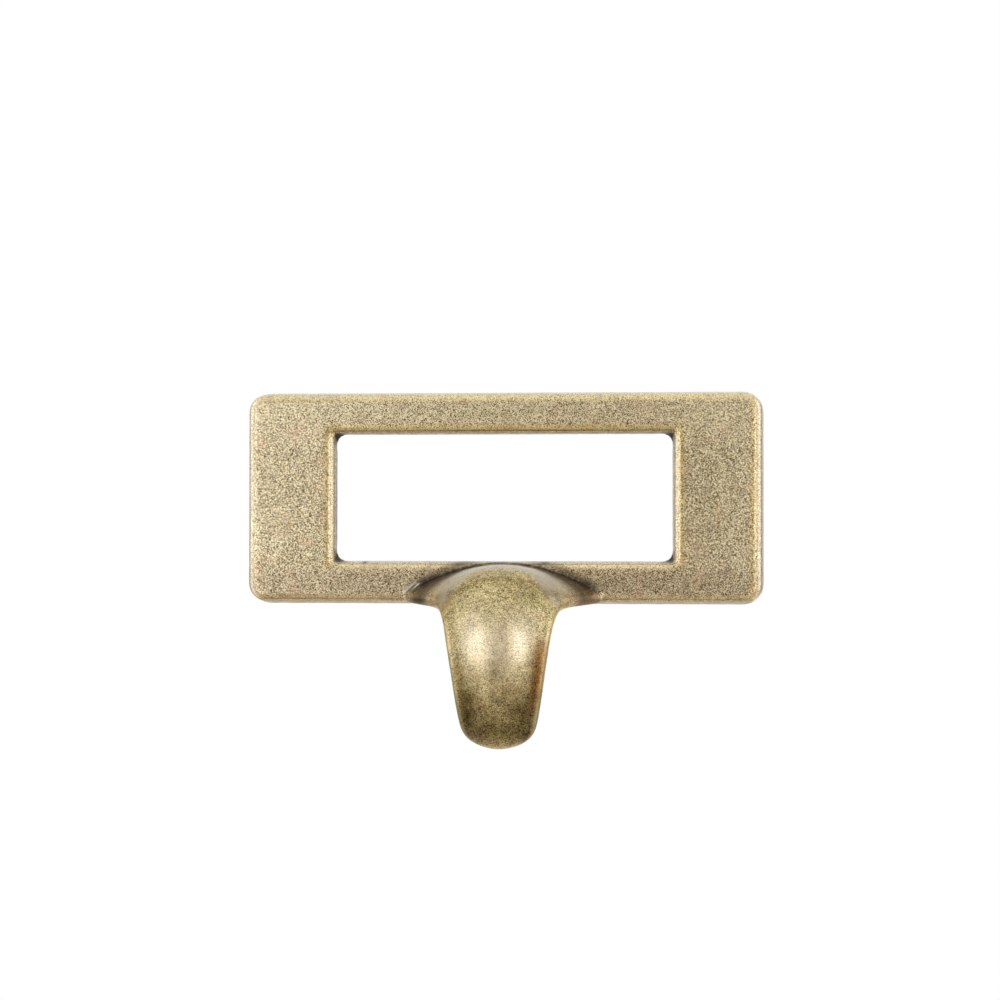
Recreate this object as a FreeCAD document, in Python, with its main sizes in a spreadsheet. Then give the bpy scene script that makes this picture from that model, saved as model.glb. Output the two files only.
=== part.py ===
import FreeCAD, Part

# Label frame pull for a drawer front: one casting. A flat rectangular frame holds a name card behind
# its window, and a tongue flares out of the bottom rail, bends down and is pulled with one finger.
# Two blind tapped holes in the side bars take machine screws from inside the drawer.
# Millimetres. X runs along the frame, +Z is up, the drawer front is the plane Y = 0 and the face of
# the frame looks along -Y. The origin lies midway between the two screw holes, on the drawer front.

import math
import os

import Sketcher
from FreeCAD import Placement, Rotation, Vector

NODE = "label_frame_pull"

# Place of the origin in every sketch: the first point of its level axis.
ORIGIN = (-1, 1)

# Driving dimensions: alias, value, what it measures.
SIZES = [
    ("frame_width", 78.0, "outside of the frame where it meets the drawer"),
    ("frame_height", 32.2, "outside of the frame where it meets the drawer"),
    ("frame_depth", 6.0, "drawer front to the face of the frame"),
    ("wall_draft", 6.5, "lean of the outer walls, degrees"),
    ("corner_radius", 3.2, "outer corners at the drawer front"),
    ("edge_radius", 1.3, "rounding of the outer front edge"),
    ("back_edge_break", 0.35, "broken edge against the drawer front"),
    ("window_width", 50.3, "clear opening at the back of the lip"),
    ("window_height", 18.9, "clear opening at the back of the lip"),
    ("window_corner", 0.25, "corners of the window where its walls meet"),
    ("window_draft", 6.8, "lean of the walls of the window, degrees"),
    ("window_edge_radius", 1.15, "rounding of the front edge of the window"),
    ("web_corner", 1.9, "corners of the clear opening, round the webs"),
    ("web_height", 1.4, "webs in the corners of the window, forward of the back of the lip"),
    ("web_lean", 33.0, "lean of the webs, degrees"),
    ("lip_thickness", 2.5, "plate that the card lies against"),
    ("card_overlap", 3.0, "lip around the window that covers the rim of the card"),
    ("card_corner", 1.5, "corners of the card recess"),
    ("screw_spacing", 64.0, "centres of the two tapped holes"),
    ("screw_diameter", 4.0, "nominal diameter of the thread"),
    ("screw_depth", 4.6, "full depth of the tapped hole"),
    ("root_width", 29.5, "foot of the tongue on the bottom rail"),
    ("root_inset_top", 0.55, "crest of the foot below the clear opening"),
    ("root_inset_bottom", 0.2, "underside of the foot above the bottom of the frame"),
    ("root_sink", 3.4, "how far the foot runs on inside the rail"),
    ("root_edge", 0.95, "edge radius of the foot"),
    ("root_back", 1.1, "edge line of the foot above its underside"),
    ("neck_reach", 3.8, "face of the frame to the start of the bend"),
    ("neck_width", 20.8, "tongue without its flare, carried on to the face of the frame"),
    ("bend_radius", 10.0, "outside of the bend"),
    ("bend_width", 15.3, "tongue where the bend ends"),
    ("bend_fill", 0.8, "extra thickness half way from the face to the end of the bend"),
    ("drop_radius", 45.0, "outside of the slow curve down to the tip"),
    ("pull_thickness", 5.2, "tongue at the end of the bend"),
    ("pull_back", 1.95, "edge line of the tongue in front of its back"),
    ("pull_edge", 1.5, "edge radius of the tongue"),
    ("tip_width", 11.6, "tongue where its round end starts"),
    ("tip_thickness", 4.6, "tongue where its round end starts"),
    ("tip_length", 4.8, "length of the round end"),
    ("tip_drop", 20.2, "tip below the bottom of the frame"),
]

doc = FreeCAD.newDocument("label_frame_pull")
sheet = doc.addObject("Spreadsheet::Sheet", "Sizes")
for row, (alias, value, meaning) in enumerate(SIZES, start=1):
    sheet.set(f"A{row}", meaning)
    sheet.set(f"B{row}", str(value))
    sheet.setAlias(f"B{row}", alias)
doc.recompute()

body = doc.addObject("PartDesign::Body", "Casting")
body.Label = NODE
origin_planes = {plane.Role: plane for plane in body.Origin.OriginFeatures}


def size(alias):
    """Expression that reads one driving dimension."""
    return f"Sizes.{alias}"


def value_of(expression):
    """Number that an expression gives at the present sizes."""
    return float(sheet.evalExpression(expression.replace("Sizes.", "")))


def mix(first, last, share):
    """Expression that runs in a straight line from first to last."""
    return f"({first}) + (({last}) - ({first})) * ({share})"


def add_feature(kind, name, **settings):
    """Feature of the casting, where a text setting is an expression and others are plain values."""
    feature = body.newObject(f"PartDesign::{kind}", name)
    for setting, given in settings.items():
        if isinstance(given, str):
            feature.setExpression(setting, given)
        else:
            setattr(feature, setting, given)
    return feature


def front_sketch(name, forward="0", height="0", turn="0"):
    """Sketch parallel to the drawer front, moved forward and up, then turned about X."""
    sketch = body.newObject("Sketcher::SketchObject", name)
    sketch.AttachmentSupport = [(origin_planes["XZ_Plane"], "")]
    sketch.MapMode = "FlatFace"
    sketch.AttachmentOffset = Placement(Vector(), Rotation(Vector(1, 0, 0), 1))
    sketch.setExpression("AttachmentOffset.Base.y", height)
    sketch.setExpression("AttachmentOffset.Base.z", forward)
    sketch.setExpression("AttachmentOffset.Rotation.Angle", turn)
    return sketch


def dimension(sketch, name, expression, kind, *places):
    """Named constraint of a sketch, bound to an expression."""
    index = sketch.addConstraint(Sketcher.Constraint(kind, *places, value_of(expression)))
    sketch.renameConstraint(index, name)
    sketch.setExpression(f"Constraints.{name}", expression)


def join_smoothly(sketch, pieces):
    """Each piece of a closed outline runs into the next with no corner."""
    for piece, following in zip(pieces, pieces[1:] + pieces[:1]):
        sketch.addConstraint(Sketcher.Constraint("Tangent", piece, 2, following, 1))


def rounded_rectangle(sketch, width, height, radius):
    """Rectangle about the sketch's origin, with four equal round corners."""
    half_width = value_of(width) / 2
    half_height = value_of(height) / 2
    corner = value_of(radius)
    across = half_width - corner
    up = half_height - corner
    sides = []
    corners = []
    outline = []
    for quarter in range(4):
        turn = Rotation(Vector(0, 0, 1), 90 * quarter)
        run, rise = (across, up) if quarter % 2 == 0 else (up, across)
        start = turn.multVec(Vector(run + corner, -rise, 0))
        end = turn.multVec(Vector(run + corner, rise, 0))
        centre = turn.multVec(Vector(run, rise, 0))
        circle = Part.Circle(centre, Vector(0, 0, 1), corner)
        first_angle = math.radians(90 * quarter)
        side = sketch.addGeometry(Part.LineSegment(start, end))
        arc = sketch.addGeometry(Part.ArcOfCircle(circle, first_angle, first_angle + math.pi / 2))
        sides.append(side)
        corners.append(arc)
        outline += [side, arc]
    join_smoothly(sketch, outline)
    right, top, left, bottom = sides
    for side in (right, left):
        sketch.addConstraint(Sketcher.Constraint("Vertical", side))
    for side in (top, bottom):
        sketch.addConstraint(Sketcher.Constraint("Horizontal", side))
    for arc in corners[1:]:
        sketch.addConstraint(Sketcher.Constraint("Equal", corners[0], arc))
    dimension(sketch, "right", f"({width}) / 2", "DistanceX", *ORIGIN, right, 1)
    dimension(sketch, "left", f"({width}) / 2", "DistanceX", left, 1, *ORIGIN)
    dimension(sketch, "top", f"({height}) / 2", "DistanceY", *ORIGIN, top, 1)
    dimension(sketch, "bottom", f"({height}) / 2", "DistanceY", bottom, 1, *ORIGIN)
    dimension(sketch, "radius", radius, "Radius", corners[0])


def tongue_section(name, forward, turn, outer, thickness, back, edge, width, end_scale="1"):
    """Section of the tongue: a crowned front and a flatter back, run together by round edges.

    v is measured from the centre of the curve that the tongue follows. The edge line lies at
    outer - thickness + back, and end_scale shrinks the section towards that line at the tip.
    """
    sketch = front_sketch(name, forward, BEND_CENTRE_HEIGHT, turn)
    seat = f"({outer}) - ({thickness}) + ({back})"
    crown_rise = f"(({thickness}) - ({back})) * ({end_scale})"
    back_rise = f"({back}) * ({end_scale})"
    edge_radius = f"({edge}) * ({end_scale})"
    edge_reach = f"(({width}) / 2 - ({edge})) * ({end_scale})"
    # An arc of this radius rises so far above the edge line and touches both edge arcs.
    arc_radius = "(({0})^2 + ({1})^2 - ({2})^2) / (2 * (({1}) - ({2})))"
    crown_radius = arc_radius.format(edge_reach, crown_rise, edge_radius)
    back_radius = arc_radius.format(edge_reach, back_rise, edge_radius)

    reach = value_of(edge_reach)
    line = value_of(seat)
    crown_centre = line + value_of(crown_rise) - value_of(crown_radius)
    back_centre = line - value_of(back_rise) + value_of(back_radius)
    crown_angle = math.atan2(line - crown_centre, reach)
    back_angle = math.atan2(back_centre - line, reach)
    arcs = [
        (0, crown_centre, value_of(crown_radius), crown_angle, math.pi - crown_angle),
        (-reach, line, value_of(edge_radius), math.pi - crown_angle, math.pi + back_angle),
        (0, back_centre, value_of(back_radius), math.pi + back_angle, 2 * math.pi - back_angle),
        (reach, line, value_of(edge_radius), -back_angle, crown_angle),
    ]
    for across, up, radius, first, last in arcs:
        circle = Part.Circle(Vector(across, up, 0), Vector(0, 0, 1), radius)
        sketch.addGeometry(Part.ArcOfCircle(circle, first, last))
    crown, left, back_arc, right = range(4)
    join_smoothly(sketch, [crown, left, back_arc, right])
    for arc in (crown, back_arc):
        sketch.addConstraint(Sketcher.Constraint("Vertical", arc, 3, *ORIGIN))
    sketch.addConstraint(Sketcher.Constraint("Horizontal", left, 3, right, 3))
    dimension(sketch, "edge_reach", edge_reach, "DistanceX", *ORIGIN, right, 3)
    dimension(sketch, "edge_line", seat, "DistanceY", *ORIGIN, right, 3)
    dimension(sketch, "edge_radius", edge_radius, "Radius", right)
    dimension(sketch, "crown_radius", crown_radius, "Radius", crown)
    dimension(sketch, "back_radius", back_radius, "Radius", back_arc)
    return sketch


def edges_at(base, forward, inside):
    """Names of a feature's edges in the plane so far forward, of the window or of the outside.

    The two kinds lie on either side of a line half way between the window and the outside.
    """
    middle_x = value_of(f"({size('window_width')} + {size('frame_width')}) / 4")
    middle_z = value_of(f"({size('window_height')} + {size('frame_height')}) / 4")
    flat_within = 1e-4
    names = []
    for number, edge in enumerate(base.Shape.Edges, start=1):
        points = edge.discretize(3)
        flat = all(abs(point.y + forward) < flat_within for point in points)
        near = all(abs(point.x) < middle_x and abs(point.z) < middle_z for point in points)
        if flat and near == inside:
            names.append(f"Edge{number}")
    return names


# Frame: a block with leaning walls, a round front edge and a broken back edge.
frame_outline = front_sketch("frame_outline")
rounded_rectangle(frame_outline, size("frame_width"), size("frame_height"), size("corner_radius"))
frame_block = add_feature(
    "Pad", "frame_block", Profile=frame_outline,
    Length=size("frame_depth"), TaperAngle=f"-{size('wall_draft')}",
)
doc.recompute()
face = value_of(size("frame_depth"))
front_edge = add_feature(
    "Fillet", "front_edge",
    Base=(frame_block, edges_at(frame_block, face, inside=False)), Radius=size("edge_radius"),
)
doc.recompute()
back_edge = add_feature(
    "Chamfer", "back_edge",
    Base=(front_edge, edges_at(front_edge, 0, inside=False)), Size=size("back_edge_break"),
)

# Window: its walls lean open towards the face, where its edge is round.
lip_back = f"{size('frame_depth')} - {size('lip_thickness')}"
window_outline = front_sketch("window_outline", lip_back)
rounded_rectangle(window_outline, size("window_width"), size("window_height"), size("window_corner"))
window = add_feature(
    "Pocket", "window", Profile=window_outline, Reversed=True,
    Length=size("lip_thickness"), TaperAngle=size("window_draft"),
)
doc.recompute()
window_edge = add_feature(
    "Fillet", "window_edge",
    Base=(window, edges_at(window, face, inside=True)), Radius=size("window_edge_radius"),
)

# Corner webs: behind the round edge, metal fills the corners of the window. Each web is a square, less
# the round corner of the clear opening. Most of it is buried in the lip, and it leans into the corner.
web_outline = front_sketch("web_outline", lip_back)
web_radius = value_of(size("web_corner"))
wall_x = value_of(size("window_width")) / 2
wall_z = value_of(size("window_height")) / 2
web_centre = Vector(wall_x - web_radius, wall_z - web_radius, 0)
web_circle = Part.Circle(web_centre, Vector(0, 0, 1), web_radius)
web_arc = web_outline.addGeometry(Part.ArcOfCircle(web_circle, 0, math.pi / 2))
web_corners = [
    Vector(wall_x, web_centre.y, 0),
    Vector(wall_x + web_radius, web_centre.y, 0),
    Vector(wall_x + web_radius, wall_z + web_radius, 0),
    Vector(web_centre.x, wall_z + web_radius, 0),
    Vector(web_centre.x, wall_z, 0),
]
for start, end in zip(web_corners, web_corners[1:]):
    web_outline.addGeometry(Part.LineSegment(start, end))
lower, right, upper, left = range(1, 5)
for piece, following in ((lower, right), (right, upper), (upper, left)):
    web_outline.addConstraint(Sketcher.Constraint("Coincident", piece, 2, following, 1))
web_outline.addConstraint(Sketcher.Constraint("Coincident", web_arc, 1, lower, 1))
web_outline.addConstraint(Sketcher.Constraint("Coincident", web_arc, 2, left, 2))
for side in (lower, upper):
    web_outline.addConstraint(Sketcher.Constraint("Horizontal", side))
for side in (right, left):
    web_outline.addConstraint(Sketcher.Constraint("Vertical", side))
web_outline.addConstraint(Sketcher.Constraint("Horizontal", web_arc, 3, web_arc, 1))
web_outline.addConstraint(Sketcher.Constraint("Vertical", web_arc, 3, web_arc, 2))
dimension(web_outline, "across", f"{size('window_width')} / 2", "DistanceX", *ORIGIN, web_arc, 1)
dimension(web_outline, "up", f"{size('window_height')} / 2", "DistanceY", *ORIGIN, web_arc, 2)
dimension(web_outline, "radius", size("web_corner"), "Radius", web_arc)
dimension(web_outline, "buried_across", size("web_corner"), "DistanceX", lower, 1, lower, 2)
dimension(web_outline, "buried_up", size("web_corner"), "DistanceY", left, 2, left, 1)
web = add_feature(
    "Pad", "web", Profile=web_outline,
    Length=size("web_height"), TaperAngle=f"-{size('web_lean')}",
)
doc.recompute()
mirrors = [
    add_feature("Mirrored", f"web_{role[:2]}", MirrorPlane=(origin_planes[role], [""]))
    for role in ("YZ_Plane", "XY_Plane")
]
webs = add_feature("MultiTransform", "webs", Originals=[web], Transformations=mirrors)
body.Tip = webs
doc.recompute()

# Tongue: it leaves the rail level with the bottom edge of the window, bends down and curls in to the
# tip. Its sections stand on the foot, round the bend, down the slow curve and round the tip.
CREST = f"{size('window_height')} / 2 + {size('root_inset_top')}"
BEND_CENTRE_HEIGHT = f"-({CREST}) - {size('bend_radius')}"
BEND_CENTRE_FORWARD = f"{size('frame_depth')} + {size('neck_reach')}"
DROP_CENTRE_FORWARD = f"{BEND_CENTRE_FORWARD} + {size('bend_radius')} - {size('drop_radius')}"
ROOT_THICKNESS = f"{size('frame_height')} / 2 - {size('root_inset_bottom')} - ({CREST})"
BEND_LENGTH = f"({size('bend_radius')} - {size('pull_thickness')} / 2) * pi / 2"
NECK_SHARE = f"{size('neck_reach')} / ({size('neck_reach')} + {BEND_LENGTH})"
EDGE_LINE_RADIUS = f"{size('drop_radius')} - {size('tip_thickness')} + {size('pull_back')}"
TIP_DROP = f"{size('frame_height')} / 2 + {size('tip_drop')} + ({BEND_CENTRE_HEIGHT})"
TIP_ANGLE = f"asin(({TIP_DROP}) / ({EDGE_LINE_RADIUS})) / 1deg"
TIP_START = f"{TIP_ANGLE} - {size('tip_length')} / ({EDGE_LINE_RADIUS}) * 180 / pi"


def run_settings(share):
    """Width, thickness, back and edge of a section, a share of the way from the face to the bend's end.

    The flare dies out with the cube of the way that is left. The fill is a parabola, full half way.
    """
    fill = f"{size('bend_fill')} * 4 * ({share}) * (1 - ({share}))"
    flare = f"({size('root_width')} - {size('neck_width')}) * (1 - ({share}))^3"
    return {
        "width": f"{mix(size('neck_width'), size('bend_width'), share)} + {flare}",
        "thickness": f"{mix(ROOT_THICKNESS, size('pull_thickness'), share)} + {fill}",
        "back": mix(size("root_back"), size("pull_back"), share),
        "edge": mix(size("root_edge"), size("pull_edge"), share),
    }


# The first section lies inside the rail, the next on its face.
FOOT_SUNK = f"{size('frame_depth')} - {size('root_sink')}"
sections = [tongue_section("foot_sunk", FOOT_SUNK, "0", size("bend_radius"), **run_settings("0"))]
for step in (0, 0.5):
    sections.append(tongue_section(
        f"foot_{len(sections)}", f"{size('frame_depth')} + {size('neck_reach')} * {step}", "0",
        size("bend_radius"), **run_settings(f"({NECK_SHARE}) * {step}"),
    ))

for step in (0, 0.5, 1):
    sections.append(tongue_section(
        f"bend_{len(sections)}", BEND_CENTRE_FORWARD, f"90 * {step}",
        size("bend_radius"), **run_settings(mix(NECK_SHARE, "1", step)),
    ))

for step in (0.5, 1):
    sections.append(tongue_section(
        f"drop_{len(sections)}", DROP_CENTRE_FORWARD, f"90 + ({TIP_START}) * {step}", size("drop_radius"),
        mix(size("pull_thickness"), size("tip_thickness"), step), size("pull_back"), size("pull_edge"),
        mix(size("bend_width"), size("tip_width"), step),
    ))

# Round the tip, the section shrinks as a quarter of an ellipse does. The last one is the small flat
# that closes the end.
for degrees in (30, 60, 82):
    along = math.sin(math.radians(degrees))
    sections.append(tongue_section(
        f"tip_{len(sections)}", DROP_CENTRE_FORWARD,
        f"90 + {mix(TIP_START, TIP_ANGLE, along)}", size("drop_radius"),
        size("tip_thickness"), size("pull_back"), size("pull_edge"), size("tip_width"),
        end_scale=str(math.cos(math.radians(degrees))),
    ))
doc.recompute()
tongue = add_feature("AdditiveLoft", "tongue", Profile=sections[0], Sections=sections[1:])
doc.recompute()

# Card recess: the card lies behind the lip, put in from the back before the frame is screwed on.
card_outline = front_sketch("card_outline")
rounded_rectangle(
    card_outline,
    f"{size('window_width')} + 2 * {size('card_overlap')}",
    f"{size('window_height')} + 2 * {size('card_overlap')}",
    size("card_corner"),
)
card_recess = add_feature("Pocket", "card_recess", Profile=card_outline, Length=lip_back, Reversed=True)
doc.recompute()

# Screw holes: blind, tapped from the back of the side bars. The thread itself isn't cut here.
hole_centres = front_sketch("hole_centres")
for side in (1, -1):
    centre = Vector(side * value_of(size("screw_spacing")) / 2, 0, 0)
    bore = Part.Circle(centre, Vector(0, 0, 1), value_of(size("screw_diameter")) / 2)
    circle = hole_centres.addGeometry(bore)
    hole_centres.addConstraint(Sketcher.Constraint("Horizontal", circle, 3, *ORIGIN))
dimension(hole_centres, "right", f"{size('screw_spacing')} / 2", "DistanceX", *ORIGIN, 0, 3)
dimension(hole_centres, "left", f"{size('screw_spacing')} / 2", "DistanceX", 1, 3, *ORIGIN)
for circle, name in enumerate(("right_bore", "left_bore")):
    dimension(hole_centres, name, size("screw_diameter"), "Diameter", circle)
screw_holes = add_feature(
    "Pocket", "screw_holes", Profile=hole_centres, Length=size("screw_depth"), Reversed=True
)
doc.recompute()

failed = [item.Name for item in doc.Objects if {"Invalid", "Error"} & set(item.State)]
if failed:
    raise RuntimeError(f"objects that failed: {failed}")
shape = body.Shape
if shape.isNull() or not shape.isValid() or len(shape.Solids) != 1:
    raise RuntimeError("the casting isn't one valid solid")

os.makedirs("parts", exist_ok=True)
shape.exportStep(f"parts/{NODE}.step")
print(f"{NODE}: {shape.Volume / 1000:.2f} cm3, box {shape.BoundBox}")
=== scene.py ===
import math

import bmesh
import bpy
import numpy as np
from mathutils import Matrix, Vector


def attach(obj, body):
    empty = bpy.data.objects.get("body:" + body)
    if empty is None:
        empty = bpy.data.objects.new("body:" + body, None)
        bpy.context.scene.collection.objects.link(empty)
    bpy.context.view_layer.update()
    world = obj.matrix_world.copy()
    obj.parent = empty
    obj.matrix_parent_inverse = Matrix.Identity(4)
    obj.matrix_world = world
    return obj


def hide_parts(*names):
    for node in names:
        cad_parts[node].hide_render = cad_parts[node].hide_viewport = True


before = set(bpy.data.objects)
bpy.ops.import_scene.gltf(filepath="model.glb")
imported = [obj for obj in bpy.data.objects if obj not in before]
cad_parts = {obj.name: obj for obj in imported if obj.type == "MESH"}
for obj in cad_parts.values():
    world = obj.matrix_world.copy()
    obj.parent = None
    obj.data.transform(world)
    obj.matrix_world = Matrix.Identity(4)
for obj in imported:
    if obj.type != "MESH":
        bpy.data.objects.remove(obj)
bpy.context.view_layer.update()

scene = bpy.context.scene
MM = 0.001

# Casting. The real pull is one piece of zinc alloy, pressure cast in a steel mould, with the frame, the
# lip round the window, the tapped side bars and the tongue all in one. It is brass plated, darkened, and
# rubbed back by hand, so the hollows stay dark and the edges come up bright.
SKIN_MESH_MM = 0.2665
MERGE_MM = 0.001
SOFTENING_ROUNDS = 3
SOFTENING_LIMIT_MM = 0.025
WEB_SOFTENING_LIMIT_MM = 0.12
WEB_CENTRE_MM = (24.4, 8.7)
WEB_REACH_MM = 1.6
WAVE_SEED = 11
WAVE_COUNT = 36
WAVE_LENGTHS_MM = (1.4, 5.0)
WAVE_HEIGHT_MM = 0.00115

pull_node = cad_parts["label_frame_pull"]


def closed_copy(source, name):
    """Copy of a loose triangle mesh with its doubled corners merged, so that the shell is closed."""
    shell = bmesh.new()
    shell.from_mesh(source.data)
    bmesh.ops.remove_doubles(shell, verts=shell.verts, dist=MERGE_MM * MM)
    mesh = bpy.data.meshes.new(name)
    shell.to_mesh(mesh)
    shell.free()
    piece = bpy.data.objects.new(name, mesh)
    scene.collection.objects.link(piece)
    return piece


def even_skin(piece, shape, cell):
    """Skins the piece anew with an even grid of small square faces, laid on the surface of the shape."""
    remesh = piece.modifiers.new("even_skin", "REMESH")
    remesh.mode = "VOXEL"
    remesh.voxel_size = cell
    wrap = piece.modifiers.new("on_the_shape", "SHRINKWRAP")
    wrap.target = shape
    graph = bpy.context.evaluated_depsgraph_get()
    mesh = bpy.data.meshes.new_from_object(piece.evaluated_get(graph))
    piece.modifiers.clear()
    piece.data = mesh
    return mesh


def read_points(mesh, collection, field):
    """Array of three numbers for each vertex of a mesh."""
    values = np.empty(3 * len(mesh.vertices))
    collection.foreach_get(field, values)
    return values.reshape(-1, 3)


def spread(values, edges, rounds):
    """Each round gives every vertex the mean of its own value and of the mean of its neighbours."""
    count = len(values)
    first, last = edges.T
    links = np.bincount(edges.ravel(), minlength=count)
    columns = values.reshape(count, -1).copy()
    for _ in range(rounds):
        for column in columns.T:
            total = np.bincount(first, column[last], count) + np.bincount(last, column[first], count)
            column[:] = (column + total / links) / 2
    return columns.reshape(values.shape)


def bending(points, normals, edges):
    """Mean curvature at each vertex, per millimetre: below zero on ridges and above zero in hollows.

    Along each edge, a neighbour that stands so high above the tangent plane at such a distance lies on
    a circle of curvature 2 * height / distance squared. The mean over the edges is taken.
    """
    count = len(points)
    first, last = edges.T
    step = points[last] - points[first]
    square = (step ** 2).sum(axis=1)
    rise_first = 2 * (normals[first] * step).sum(axis=1) / square
    rise_last = -2 * (normals[last] * step).sum(axis=1) / square
    total = np.bincount(first, rise_first, count) + np.bincount(last, rise_last, count)
    return total / np.bincount(edges.ravel(), minlength=count)


def cast_waves(points):
    """Unevenness of a casting: a sum of plane waves in seeded directions, lengths and phases."""
    draw = np.random.default_rng(WAVE_SEED)
    directions = draw.normal(size=(WAVE_COUNT, 3))
    directions /= np.linalg.norm(directions, axis=1, keepdims=True)
    lengths = np.exp(draw.uniform(*np.log(WAVE_LENGTHS_MM), size=WAVE_COUNT))
    phases = draw.uniform(0, 2 * np.pi, WAVE_COUNT)
    angles = points @ (2 * np.pi * directions / lengths[:, None]).T + phases
    heights = WAVE_HEIGHT_MM * lengths / np.mean(WAVE_LENGTHS_MM)
    return np.sin(angles) @ heights


def ease(low, high, values):
    """Smooth step from 0 at low to 1 at high."""
    share = np.clip((values - low) / (high - low), 0, 1)
    return share ** 2 * (3 - 2 * share)


casting = closed_copy(pull_node, "pull_casting")
skin = even_skin(casting, pull_node, SKIN_MESH_MM * MM)
edges = np.empty(2 * len(skin.edges), dtype=np.int32)
skin.edges.foreach_get("vertices", edges)
edges = edges.reshape(-1, 2)
points = read_points(skin, skin.vertices, "co") / MM
softened = spread(points, edges, SOFTENING_ROUNDS) - points
moved = np.linalg.norm(softened, axis=1, keepdims=True)
from_web = np.abs(np.abs(points[:, [0, 2]]) - WEB_CENTRE_MM)
on_web = (from_web < WEB_REACH_MM).all(axis=1, keepdims=True)
limit = np.where(on_web, WEB_SOFTENING_LIMIT_MM, SOFTENING_LIMIT_MM)
points += softened * np.minimum(1, limit / np.maximum(moved, limit))
skin.vertices.foreach_set("co", (points * MM).ravel())
skin.update()
normals = read_points(skin, skin.vertices, "normal")

# Patina of the casting, and painted light and shade: where its finish is bright or dark, as fields from 0 to
# 1 over the vertices.
# Places are in millimetres: across from the middle, deep from the drawer front, where the face lies at
# -6 and the tongue stands before it, and high from the screw holes.
WINDOW_HALF_MM = (25.15, 9.45)
WINDOW_RIM_MM = 26.5
ARCH_CENTRE_MM = -31.85
ARCH_RADIUS_MM = 22.1
TONGUE_WAIST_MM = -20.9
TONGUE_HALF_WIDTH_MM = 7.3
TONGUE_FLARE = 0.168
BROAD_ROUNDS = 60
RIDGE_ROUNDS = 4
HOLLOW_ROUNDS = 3

across, deep, high = points.T
off_centre = np.abs(across)
off_middle = np.abs(high)
side_face, back_face, top_face = normals.T
curve = bending(points, normals, edges)
broad_curve = spread(curve, edges, BROAD_ROUNDS)


def bell(values, centre, half_width):
    """Bell curve: 1 at the centre, and a little over a third at the half width."""
    return np.exp(-((values - centre) / half_width) ** 2)


def spots(rows):
    """Greatest of several soft round spots seen from the front, each a bell curve of the distance.

    A row gives a spot's strength, its centre across and high, its half width and its half height.
    """
    return np.maximum.reduce([
        strength * np.exp(-((across - x) / half_width) ** 2 - ((high - z) / half_height) ** 2)
        for strength, x, z, half_width, half_height in rows
    ])


def scratch(start_x, start_z, end_x, end_z, half_width):
    """Straight scratch seen from the front: a bell curve of the distance from a line between two points."""
    along = np.array([end_x - start_x, end_z - start_z])
    offset = np.stack([across - start_x, high - start_z])
    share = np.clip(along @ offset / (along @ along), 0, 1)
    return np.exp(-((offset - along[:, None] * share) ** 2).sum(axis=0) / half_width ** 2)


on_tongue = ease(6.02, 6.3, -deep) * ease(-9.0, -9.6, high)
on_frame = ease(-6.6, -6.2, deep)
on_front = ease(0.2, -0.2, back_face)
in_window = ease(27.4, 27.0, off_centre) * ease(11.6, 11.2, off_middle)
from_corner = np.hypot(off_centre - WINDOW_HALF_MM[0], off_middle - WINDOW_HALF_MM[1])
in_corner = ease(2.0, 1.3, from_corner) * in_window
over_window = ease(26.6, 26.0, off_centre)
beside_window = ease(11.4, 10.7, off_middle)
outside = np.maximum(ease(37.0, 37.6, off_centre), ease(-14.5, -15.2, high))
above_arch = np.hypot(across, high - ARCH_CENTRE_MM) - ARCH_RADIUS_MM
tongue_share = off_centre / (TONGUE_HALF_WIDTH_MM + TONGUE_FLARE * (high - TONGUE_WAIST_MM))
sheen_depth = 10.4 + 3.2 * ease(3.0, 7.0, off_centre)
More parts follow.
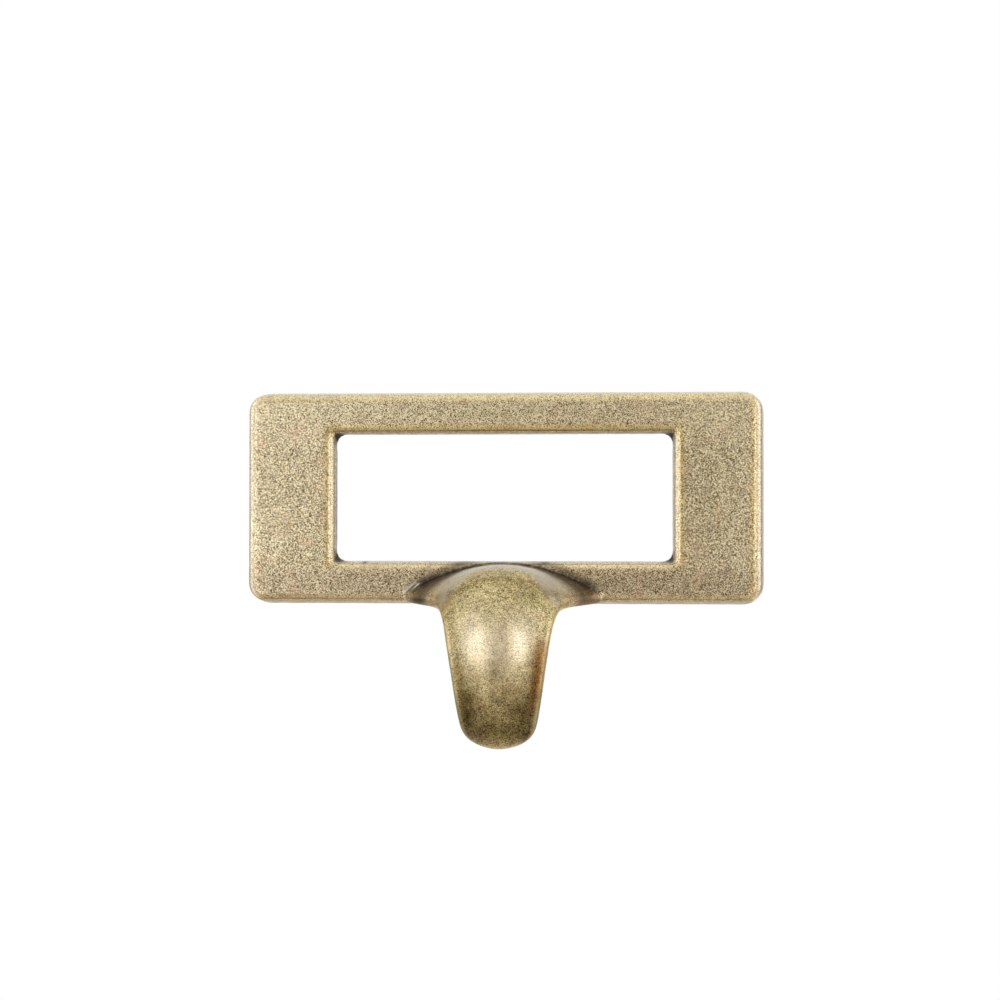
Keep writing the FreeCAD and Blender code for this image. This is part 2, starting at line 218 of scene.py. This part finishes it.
fields = {
    # Edges that the rubbing brightened, and hollows that it did not reach.
    "ridge": ease(0.14, 0.5, spread(-curve, edges, RIDGE_ROUNDS)),
    "hollow": ease(0.05, 0.5, spread(curve, edges, HOLLOW_ROUNDS)),
    # Dark crease round the foot of the tongue: on the rail, on the foot's flanks and above its arch.
    "crease": ease(-8.5, -9.5, high) * np.maximum(
        on_frame * ease(-5.0, -5.6, deep) * ease(0.02, 0.2, broad_curve),
        ease(14.4, 12.0, off_centre) * np.maximum(
            ease(3.0, 8.0, off_centre) * ease(-11.5, -8.5, deep) * ease(-5.9, -6.2, deep),
            ease(2.0, 6.0, off_centre) * on_frame * on_front * bell(above_arch, 0.7, 0.65),
        ),
    ),
    # The tongue, yellower than the frame, with three bright spots, partly wear from fingers and partly
    # painted highlight where the soft boxes reflect, and a painted grey sheen on its bend.
    "tongue": on_tongue * ease(12.0, 8.5, off_centre),
    "worn_and_painted_highlight": on_tongue * on_front * spots((
        (1.0, -2.8, -20.6, 2.6, 4.2), (1.0, 3.1, -20.6, 2.6, 3.8), (1.0, 0.0, -21.6, 4.5, 4.6),
    )),
    "sheen": on_tongue * on_front * ease(2.2, 0.0, -deep - sheen_depth) * ease(-0.3, 0.25, top_face)
    * ease(11.5, 7.5, off_centre),
    # Painted shade on the tongue's tip and flanks, dark patches, greyer ends of its foot, and a copper tint.
    "tip_painted_shade": on_tongue * ease(-24.0, -34.0, high) * (1 - 0.5 * bell(across, 0.0, 2.2)),
    # Painted shade on the tongue's flanks, deeper on the left.
    "sides": on_tongue * bell(tongue_share, 0.84, 0.15)
    * np.maximum(np.where(across < 0, 0.55, 0.3) * ease(-11.0, -15.0, high), ease(-16.0, -26.0, high))
    * (0.6 + 0.4 * ease(-32.5, -28.0, high)),
    # Dark patches, with one painted shadow where the neck leaves the foot on the left.
    "patches_and_painted_shadow": on_tongue * on_front * spots((
        (1.0, -4.2, -31.0, 1.6, 2.4), (0.85, 3.4, -30.4, 1.5, 2.2), (0.75, 0.0, -33.4, 4.5, 1.2),
        (0.45, -0.5, -25.0, 0.9, 1.5), (1.0, -4.0, -29.0, 1.4, 2.2), (0.5, 2.6, -27.8, 1.3, 1.3),
        (0.4, -4.9, -15.6, 1.0, 1.5), (0.45, 4.6, -14.4, 1.8, 1.3), (0.7, -8.4, -15.2, 1.2, 0.8),
    )),
    "foot_ends": on_tongue * ease(8.5, 12.0, off_centre),
    "copper": on_tongue * (
        ease(0, 1, across) * bell(tongue_share, 0.88, 0.14)
        * ease(-18.5, -22.5, high) * ease(-33.0, -28.0, high)
        + 0.4 * ease(9.0, 13.0, across)
    ),
    # The frame's face: painted shade on the bottom rail, painted highlights on the top rail and in bands
    # along the rims and edges, painted dark reflections in thin lines, and yellower rims.
    # Painted shade: the bottom rail darker.
    "low_rail_painted_shade": on_frame * ease(-9.6, -12.0, high) * ease(-14.8, -14.2, high),
    # Painted highlights: the top rail lighter, and bands along the window's rims and the outer edges.
    "painted_highlight": on_frame * np.maximum.reduce([
        ease(6.0, 12.5, high),
        over_window * ease(11.2, 10.4, -high) * ease(8.8, 9.4, -high),
        bell(off_centre, WINDOW_RIM_MM, 0.4) * beside_window,
        bell(across, -37.55, 0.45),
        bell(across, 37.4, 0.25),
        0.8 * bell(high, -14.6, 0.35),
    ]),
    # Painted dark reflections: thin dark lines along the bottom edge, the top rim of the window and the
    # right edge.
    "painted_dark_reflections": on_frame * ease(-4.6, -5.0, deep) * np.maximum.reduce([
        bell(high, -15.2, 0.2),
        bell(high, 9.97, 0.2) * ease(25.8, 25.2, off_centre),
        0.25 * bell(across, 37.05, 0.2),
    ]),
    "rims": on_frame * np.maximum.reduce([
        bell(off_centre, WINDOW_RIM_MM, 0.5) * beside_window,
        over_window * ease(11.6, 10.5, high) * ease(8.5, 9.3, high),
        0.6 * over_window * ease(11.1, 10.3, -high) * ease(8.5, 9.3, -high),
        0.8 * ease(14.0, 14.8, off_middle),
        bell(across, 37.0, 0.5),
    ]),
    # Brown outer walls at the sides and below, and the dark line along the crest of the foot.
    "walls": outside * ease(-5.5, -4.9, deep) * np.maximum(
        0.5 * ease(0.8, 0.97, np.abs(side_face)), ease(0.8, 0.97, -top_face)
    ),
    "crest": bell(above_arch, 0.0, 0.2) * ease(10.0, 6.0, off_centre)
    * ease(-6.5, -6.2, deep) * ease(-4.6, -5.0, deep) * ease(-9.0, -9.4, high),
    # Dirt in a small spot by the window and in the window's corners, painted shadow under both ends of the
    # foot, and painted glints beside the foot.
    "dirt_and_painted_shadow": np.maximum(
        spots((
            (1.0, -12.4, -15.2, 1.6, 0.5), (0.7, 13.7, -15.3, 1.2, 0.4), (1.0, -20.8, -9.6, 0.35, 0.35),
        )),
        0.9 * in_corner * ease(-5.5, -4.9, deep),
    ) * on_front * ease(-11.0, -10.0, deep),
    # Painted glints: thin bright lines beside the foot's ends.
    "glint": on_frame * ease(-5.2, -5.6, deep) * np.maximum.reduce([
        scratch(-14.9, -14.2, -13.2, -12.7, 0.12),
        scratch(-14.0, -14.2, -12.6, -12.9, 0.1),
        scratch(13.1, -13.6, 13.9, -14.6, 0.12),
    ]),
    # Walls of the window and the back, which stayed as dark as the bath left them.
    "unrubbed": np.maximum(
        in_window * ease(-5.7, -5.05, deep - 0.7 * ease(0.5, 0.9, np.abs(side_face)))
        * (1 - 0.75 * ease(0.3, 0.9, top_face)),
        ease(0.2, 0.7, back_face) * ease(-6.5, -5.5, deep),
    ),
}

waves = cast_waves(points)
points -= normals * (waves - waves.min())[:, None]
skin.vertices.foreach_set("co", (points * MM).ravel())
for name, values in fields.items():
    skin.attributes.new(name, "FLOAT", "POINT").data.foreach_set("value", values)
skin.update()
skin.shade_smooth()


def linear(code, alpha=1.0):
    """Linear colour from an sRGB hex code, by the standard curve."""
    parts = [int(code[digit:digit + 2], 16) / 255 for digit in (1, 3, 5)]
    return (*[part / 12.92 if part <= 0.04045 else ((part + 0.055) / 1.055) ** 2.4 for part in parts], alpha)


def add_node(tree, kind, inputs, **settings):
    """Adds a node. Settings are its properties, and inputs are its sockets: a value, or a socket to link."""
    node = tree.nodes.new(kind)
    for setting, value in settings.items():
        setattr(node, setting, value)
    for socket, given in inputs.items():
        if isinstance(given, bpy.types.NodeSocket):
            tree.links.new(given, node.inputs[socket])
        else:
            node.inputs[socket].default_value = given
    return node


# Antique brass: plate that was darkened and rubbed back. It is a metal, warm and half matt, with a fine
# speckle of bright and dark grains, clouds a few millimetres wide, dark hollows and bright edges.
SPECK_MM = 0.09
NOISE_ROUGHNESS = 0.6
GRAIN_DEPTH_MM = 0.03
MIX_FIRST_COLOUR = 6
MIX_SECOND_COLOUR = 7
MIX_COLOUR_RESULT = 2

brass = bpy.data.materials.new("antique_brass_rubbed")
brass.use_nodes = True
tree = brass.node_tree
tree.nodes.clear()
own_fields = {
    name: add_node(tree, "ShaderNodeAttribute", {}, attribute_name=name).outputs["Fac"] for name in fields
}
place = add_node(tree, "ShaderNodeTexCoord", {}).outputs["Object"]
cells = add_node(tree, "ShaderNodeTexVoronoi", {"Vector": place, "Scale": 1 / (SPECK_MM * MM)})
specks = add_node(tree, "ShaderNodeSeparateColor", {"Color": cells.outputs["Color"]})
patterns = {"speck": specks.outputs["Red"]}
for draw, (name, cell_mm, detail) in enumerate((
    ("grain", 0.24, 1.5),
    ("mottle", 1.1, 3.0),
    ("cloud", 9.0, 2.0),
    ("smudge", 2.0, 3.0),
    ("blush", 3.0, 2.0),
)):
    noise = {"W": draw, "Scale": 1 / (cell_mm * MM), "Detail": detail, "Roughness": NOISE_ROUGHNESS}
    patterns[name] = add_node(
        tree, "ShaderNodeTexNoise", {"Vector": place, **noise}, noise_dimensions="4D"
    ).outputs["Fac"]
# The painted highlights on the frame add to the tone, as the bright edges do.
patterns["painted_highlight"] = own_fields["painted_highlight"]
patterns["ridge"] = own_fields["ridge"]

# Tone, from dark to bright: the patterns added up by weight. Three weights change from face to tongue.
weights = {"grain": 0.2, "cloud": 0.35, "painted_highlight": 0.3, "ridge": 0.35}
for name, on_face, on_the_tongue in (("offset", -1.61, -0.94), ("speck", 3.3, 1.1), ("mottle", 0.35, 1.0)):
    weights[name] = add_node(
        tree, "ShaderNodeMapRange",
        {"Value": own_fields["tongue"], "To Min": on_face, "To Max": on_the_tongue},
    ).outputs["Result"]
tone = weights["offset"]
for name, pattern in patterns.items():
    if name in weights:
        tone = add_node(
            tree, "ShaderNodeMath", {0: pattern, 1: weights[name], 2: tone}, operation="MULTIPLY_ADD"
        ).outputs["Value"]
ramp = add_node(tree, "ShaderNodeValToRGB", {"Fac": tone})
stops = ramp.color_ramp.elements
stops[0].position = 0.1
stops[0].color = linear("#635330")
stops[1].position = 0.9
stops[1].color = linear("#fff6da")
middle = stops.new(0.5)
middle.color = linear("#ddcfa8")

# Colour: the tone's own, then one layer after another. A layer may be broken up by the mottle or specks.
thresholds = {
    name: add_node(
        tree, "ShaderNodeMapRange", {"Value": patterns[name], "From Min": low, "From Max": top}
    ).outputs["Result"]
    for name, low, top in (("blush", 0.5, 0.75), ("smudge", 0.55, 0.8))
}
breaks = {
    name: add_node(
        tree, "ShaderNodeMapRange",
        {"Value": patterns[name], "From Min": low, "From Max": top, "To Min": least, "To Max": 1.0},
    ).outputs["Result"]
    for name, low, top, least in (("mottle", 0.3, 0.6, 0.5), ("speck", 0.0, 1.0, 0.35))
}
shares = own_fields | thresholds
colour = ramp.outputs["Color"]
# Several layers paint light and shade into the colour: highlights and shade on the frame, dark reflections
# along its edges, shade on the tongue's tip and flanks, highlights on its bright spots, glints and a sheen.
for name, shade, weight, blend, broken_by in (
    ("ridge", "#fff2d6", 0.35, "MIX", "mottle"),
    ("blush", "#e3bfa4", 0.35, "MIX", None),
    ("smudge", "#8a7e7c", 0.6, "MIX", None),
    ("tongue", "#fffbe2", 1.0, "MULTIPLY", None),
    ("worn_and_painted_highlight", "#fff4de", 1.0, "MIX", "speck"),
    ("tip_painted_shade", "#beb9ba", 1.0, "MULTIPLY", None),
    ("sides", "#aea28a", 1.0, "MULTIPLY", None),
    ("patches_and_painted_shadow", "#a09d83", 1.0, "MULTIPLY", None),
    ("foot_ends", "#d2c8bc", 1.0, "MULTIPLY", None),
    ("copper", "#dfbca6", 1.0, "MULTIPLY", None),
    ("low_rail_painted_shade", "#efeced", 1.0, "MULTIPLY", None),
    ("rims", "#fef6e0", 1.0, "MULTIPLY", None),
    ("sheen", "#beb7ac", 0.8, "MIX", "mottle"),
    ("unrubbed", "#7d7472", 0.9, "MIX", "mottle"),
    ("walls", "#7a5a2c", 0.95, "MIX", "mottle"),
    ("crease", "#675b4e", 0.9, "MIX", "mottle"),
    ("hollow", "#382f31", 0.8, "MIX", "mottle"),
    ("crest", "#3d3436", 1.0, "MIX", "mottle"),
    ("painted_dark_reflections", "#4a3c2c", 0.6, "MIX", "mottle"),
    ("dirt_and_painted_shadow", "#3a332c", 0.9, "MIX", None),
    ("glint", "#fff9ee", 0.6, "MIX", None),
):
    share = add_node(
        tree, "ShaderNodeMath", {0: shares[name], 1: weight}, operation="MULTIPLY"
    ).outputs["Value"]
    if broken_by:
        share = add_node(
            tree, "ShaderNodeMath", {0: share, 1: breaks[broken_by]}, operation="MULTIPLY"
        ).outputs["Value"]
    colour = add_node(
        tree, "ShaderNodeMix",
        {"Factor": share, MIX_FIRST_COLOUR: colour, MIX_SECOND_COLOUR: linear(shade)},
        data_type="RGBA", blend_type=blend,
    ).outputs[MIX_COLOUR_RESULT]
rough = add_node(
    tree, "ShaderNodeMapRange",
    {"Value": patterns["mottle"], "From Min": 0.3, "From Max": 0.7, "To Min": 0.25, "To Max": 0.36},
).outputs["Result"]
bump = add_node(
    tree, "ShaderNodeBump",
    {"Strength": 0.25, "Distance": GRAIN_DEPTH_MM * MM, "Height": patterns["grain"]},
).outputs["Normal"]
metal = add_node(
    tree, "ShaderNodeBsdfPrincipled",
    {"Base Color": colour, "Metallic": 1.0, "Roughness": rough, "Normal": bump},
)
add_node(tree, "ShaderNodeOutputMaterial", {"Surface": metal.outputs["BSDF"]})
skin.materials.clear()
skin.materials.append(brass)
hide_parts("label_frame_pull")
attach(casting, "root")

# Threads. The two blind holes in the side bars are tapped M4, and each thread is a ridge that winds up
# the bore. The tap cut through the plating, so the ridges show bare zinc alloy.
SCREW_SPACING_MM = 64.0
BORE_RADIUS_MM = 2.0
PITCH_MM = 0.7
RIDGE_DEPTH_MM = 0.36
RIDGE_HALF_WIDTH_MM = 0.44 * PITCH_MM
ROOT_IN_WALL_MM = 0.06
THREAD_START_MM = 0.35
THREAD_END_MM = 4.2
RUNOUT_SHARE = 0.08
RUNOUT_WIDTH_SHARE = 0.05
STEPS_PER_TURN = 40


def thread_ridge(centre_x):
    """Triangular profile carried up a helix: three corners, two in the wall and one at the crest.

    The crest stands in from the bore by the ridge's depth, and at both ends it sinks into the wall.
    """
    turns = (THREAD_END_MM - THREAD_START_MM) / PITCH_MM
    count = int(turns * STEPS_PER_TURN) + 1
    share = np.linspace(0, 1, count)[:, None]
    angle = 2 * np.pi * turns * share
    rise = ease(0, RUNOUT_SHARE, share) * ease(0, RUNOUT_SHARE, 1 - share)
    root = np.full_like(share, BORE_RADIUS_MM + ROOT_IN_WALL_MM)
    crest = root - (RIDGE_DEPTH_MM + ROOT_IN_WALL_MM) * rise
    radius = np.concatenate([root, crest, root], axis=1)
    along = THREAD_START_MM + (THREAD_END_MM - THREAD_START_MM) * share
    width_share = RUNOUT_WIDTH_SHARE + (1 - RUNOUT_WIDTH_SHARE) * rise
    depth = along + RIDGE_HALF_WIDTH_MM * np.array([-1, 0, 1]) * width_share
    ridge_points = np.stack(
        [centre_x + radius * np.cos(angle), -depth, radius * np.sin(angle)], axis=-1
    ).reshape(-1, 3)
    ring = np.arange(count - 1)[:, None] * 3
    corner = np.arange(3)
    following = (corner + 1) % 3
    quads = np.stack(
        [ring + corner, ring + following, ring + following + 3, ring + corner + 3], axis=-1
    ).reshape(-1, 4)
    last = 3 * (count - 1)
    return ridge_points, quads.tolist() + [[2, 1, 0], [last, last + 1, last + 2]]


# Zinc alloy as the tap left it: a cool grey metal, bright and faintly streaked.
STREAK_MM = 0.3
zinc = bpy.data.materials.new("zinc_alloy_cut_by_tap")
zinc.use_nodes = True
tree = zinc.node_tree
tree.nodes.clear()
place = add_node(tree, "ShaderNodeTexCoord", {}).outputs["Object"]
streaks = add_node(
    tree, "ShaderNodeTexNoise", {"Vector": place, "Scale": 1 / (STREAK_MM * MM), "Detail": 2.0}
)
cut_colour = add_node(tree, "ShaderNodeValToRGB", {"Fac": streaks.outputs["Fac"]})
cut_colour.color_ramp.elements[0].color = linear("#8d8d8c")
cut_colour.color_ramp.elements[1].color = linear("#c9c8c4")
cut_metal = add_node(
    tree, "ShaderNodeBsdfPrincipled",
    {"Base Color": cut_colour.outputs["Color"], "Metallic": 1.0, "Roughness": 0.32},
)
add_node(tree, "ShaderNodeOutputMaterial", {"Surface": cut_metal.outputs["BSDF"]})

for side, name in ((-1, "thread_left"), (1, "thread_right")):
    ridge_points, ridge_faces = thread_ridge(side * SCREW_SPACING_MM / 2)
    mesh = bpy.data.meshes.new(name)
    mesh.from_pydata((ridge_points * MM).tolist(), [], ridge_faces)
    mesh.materials.append(zinc)
    thread = bpy.data.objects.new(name, mesh)
    scene.collection.objects.link(thread)
    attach(thread, "root")

# Studio. A small pale table stands under the pull, out of the picture, and a white backdrop behind it.
# The room before the pull is dimmer, and dark below, and two soft boxes stand left and right of the camera.
TABLE_HEIGHT = -0.1
TABLE_LEFT, TABLE_RIGHT = -0.25, 0.25
TABLE_NEAR, TABLE_FAR = 0.01, 0.08
TABLE_FADE = 0.8
SIDE_LEVEL = 1.4
LAMP_DISTANCE = 0.45

table_mesh = bpy.data.meshes.new("table")
table_mesh.from_pydata(
    [
        (TABLE_LEFT, TABLE_NEAR, TABLE_HEIGHT), (TABLE_RIGHT, TABLE_NEAR, TABLE_HEIGHT),
        (TABLE_RIGHT, TABLE_FAR, TABLE_HEIGHT), (TABLE_LEFT, TABLE_FAR, TABLE_HEIGHT),
    ],
    [], [(0, 1, 2, 3)],
)
table = bpy.data.objects.new("table", table_mesh)
scene.collection.objects.link(table)

# White paper: matt and nearly white. For the eye it fades into the backdrop, and it still takes a shadow.
paper = bpy.data.materials.new("white_paper")
paper.use_nodes = True
tree = paper.node_tree
tree.nodes.clear()
matt = add_node(tree, "ShaderNodeBsdfPrincipled", {"Base Color": linear("#f4f3f0"), "Roughness": 0.9})
white = add_node(tree, "ShaderNodeEmission", {"Color": linear("#ffffff"), "Strength": 1.0})
rays = add_node(tree, "ShaderNodeLightPath", {}).outputs
seen = rays["Is Camera Ray"]
for ray in ("Is Glossy Ray", "Is Transmission Ray"):
    seen = add_node(tree, "ShaderNodeMath", {0: seen, 1: rays[ray]}, operation="MAXIMUM").outputs["Value"]
seen = add_node(tree, "ShaderNodeMath", {0: seen, 1: TABLE_FADE}, operation="MULTIPLY").outputs["Value"]
faded = add_node(
    tree, "ShaderNodeMixShader", {"Fac": seen, 1: matt.outputs["BSDF"], 2: white.outputs["Emission"]}
)
add_node(tree, "ShaderNodeOutputMaterial", {"Surface": faded.outputs["Shader"]})
table_mesh.materials.append(paper)

world = bpy.data.worlds.new("studio")
scene.world = world
world.use_nodes = True
tree = world.node_tree
tree.nodes.clear()
rays = add_node(tree, "ShaderNodeLightPath", {}).outputs
towards = add_node(tree, "ShaderNodeTexCoord", {}).outputs["Generated"]
direction = add_node(tree, "ShaderNodeSeparateXYZ", {"Vector": towards}).outputs
height = add_node(
    tree, "ShaderNodeMapRange", {"Value": direction["Z"], "From Min": -1.0, "From Max": 1.0}
).outputs["Result"]
room = add_node(tree, "ShaderNodeValToRGB", {"Fac": height})
room_stops = room.color_ramp.elements
for stop, shade in (
    (0.1, "#cdc3b0"), (0.25, "#b8ad9a"), (0.42, "#b8ad9a"), (0.55, "#c0b6a3"), (0.8, "#f0ece2"),
):
    room_stops.new(stop).color = linear(shade)
room_stops[0].color = linear("#ccc1ad")
room_stops[-1].color = linear("#f6f3ec")
sideways = add_node(tree, "ShaderNodeMath", {0: direction["X"]}, operation="ABSOLUTE").outputs["Value"]
behind, sides, in_front = (
    add_node(
        tree, "ShaderNodeMapRange",
        {"Value": value, "From Min": low, "From Max": top, "To Min": at_low, "To Max": at_top},
        interpolation_type="SMOOTHSTEP",
    ).outputs["Result"]
    for value, low, top, at_low, at_top in (
        (direction["Y"], 0.75, 0.92, 0.0, 1.0),
        (sideways, 0.5, 0.95, 0.0, 0.9),
        (direction["Y"], 0.0, 0.4, 1.0, 0.0),
    )
)
seen = add_node(
    tree, "ShaderNodeMath", {0: rays["Is Glossy Ray"], 1: rays["Is Transmission Ray"]}, operation="MAXIMUM"
).outputs["Value"]
for operation, other in (("MULTIPLY", behind), ("MAXIMUM", rays["Is Camera Ray"])):
    seen = add_node(tree, "ShaderNodeMath", {0: seen, 1: other}, operation=operation).outputs["Value"]
sides = add_node(tree, "ShaderNodeMath", {0: sides, 1: in_front}, operation="MULTIPLY").outputs["Value"]
level = room.outputs["Color"]
for share, shade in ((sides, (SIDE_LEVEL, SIDE_LEVEL, SIDE_LEVEL, 1)), (seen, (1, 1, 1, 1))):
    level = add_node(
        tree, "ShaderNodeMix",
        {"Factor": share, MIX_FIRST_COLOUR: level, MIX_SECOND_COLOUR: shade},
        data_type="RGBA",
    ).outputs[MIX_COLOUR_RESULT]
backdrop = add_node(tree, "ShaderNodeBackground", {"Color": level, "Strength": 1.0})
add_node(tree, "ShaderNodeOutputWorld", {"Surface": backdrop.outputs["Background"]})


def soft_box(name, azimuth, elevation, width, height, radiance):
    """Rectangular lamp that looks at the pull. Its power is its radiance times its area times pi.

    Azimuth is to the right of the face's own direction, in degrees.
    """
    lamp = bpy.data.lights.new(name, "AREA")
    lamp.shape = "RECTANGLE"
    lamp.size = width
    lamp.size_y = height
    lamp.energy = radiance * width * height * math.pi
    turn = math.radians(azimuth)
    lift = math.radians(elevation)
    stand = Vector((math.sin(turn) * math.cos(lift), -math.cos(turn) * math.cos(lift), math.sin(lift)))
    holder = bpy.data.objects.new(name, lamp)
    holder.location = stand * LAMP_DISTANCE
    holder.rotation_euler = stand.to_track_quat("Z", "Y").to_euler()
    holder.visible_camera = False
    scene.collection.objects.link(holder)


soft_box("soft_box_left", azimuth=-26, elevation=-4, width=0.18, height=0.3, radiance=1.06)
soft_box("soft_box_right", azimuth=24, elevation=-4, width=0.14, height=0.3, radiance=1.28)

# Camera. It stands level with the pull, a little to the right, and turns back towards it.
# Its place, turn and focal length were fitted to the edges of the frame and the tongue.
FOCAL_PIXELS = 1823.7
IMAGE_PIXELS = 1000
SENSOR_MM = 36.0
CAMERA_PLACE_MM = (18.474, -276.737, -4.496)
YAW, PITCH, ROLL = 0.06971, 0.01518, 0.00068
NEAREST = 0.01

camera_data = bpy.data.cameras.new("camera")
camera_data.sensor_width = SENSOR_MM
camera_data.lens = FOCAL_PIXELS / IMAGE_PIXELS * SENSOR_MM
camera_data.clip_start = NEAREST
camera = bpy.data.objects.new("camera", camera_data)
forward = Vector((-math.sin(YAW) * math.cos(PITCH), math.cos(YAW) * math.cos(PITCH), math.sin(PITCH)))
right = Vector((math.cos(YAW), math.sin(YAW), 0))
up = right.cross(forward)
tilted_right = math.cos(ROLL) * right + math.sin(ROLL) * up
tilted_up = math.cos(ROLL) * up - math.sin(ROLL) * right
turned = Matrix((tilted_right, tilted_up, -forward)).transposed()
camera.matrix_world = Matrix.Translation(Vector(CAMERA_PLACE_MM) * MM) @ turned.to_4x4()
scene.collection.objects.link(camera)
scene.camera = camera
scene.view_settings.view_transform = "Standard"

bpy.context.view_layer.update()
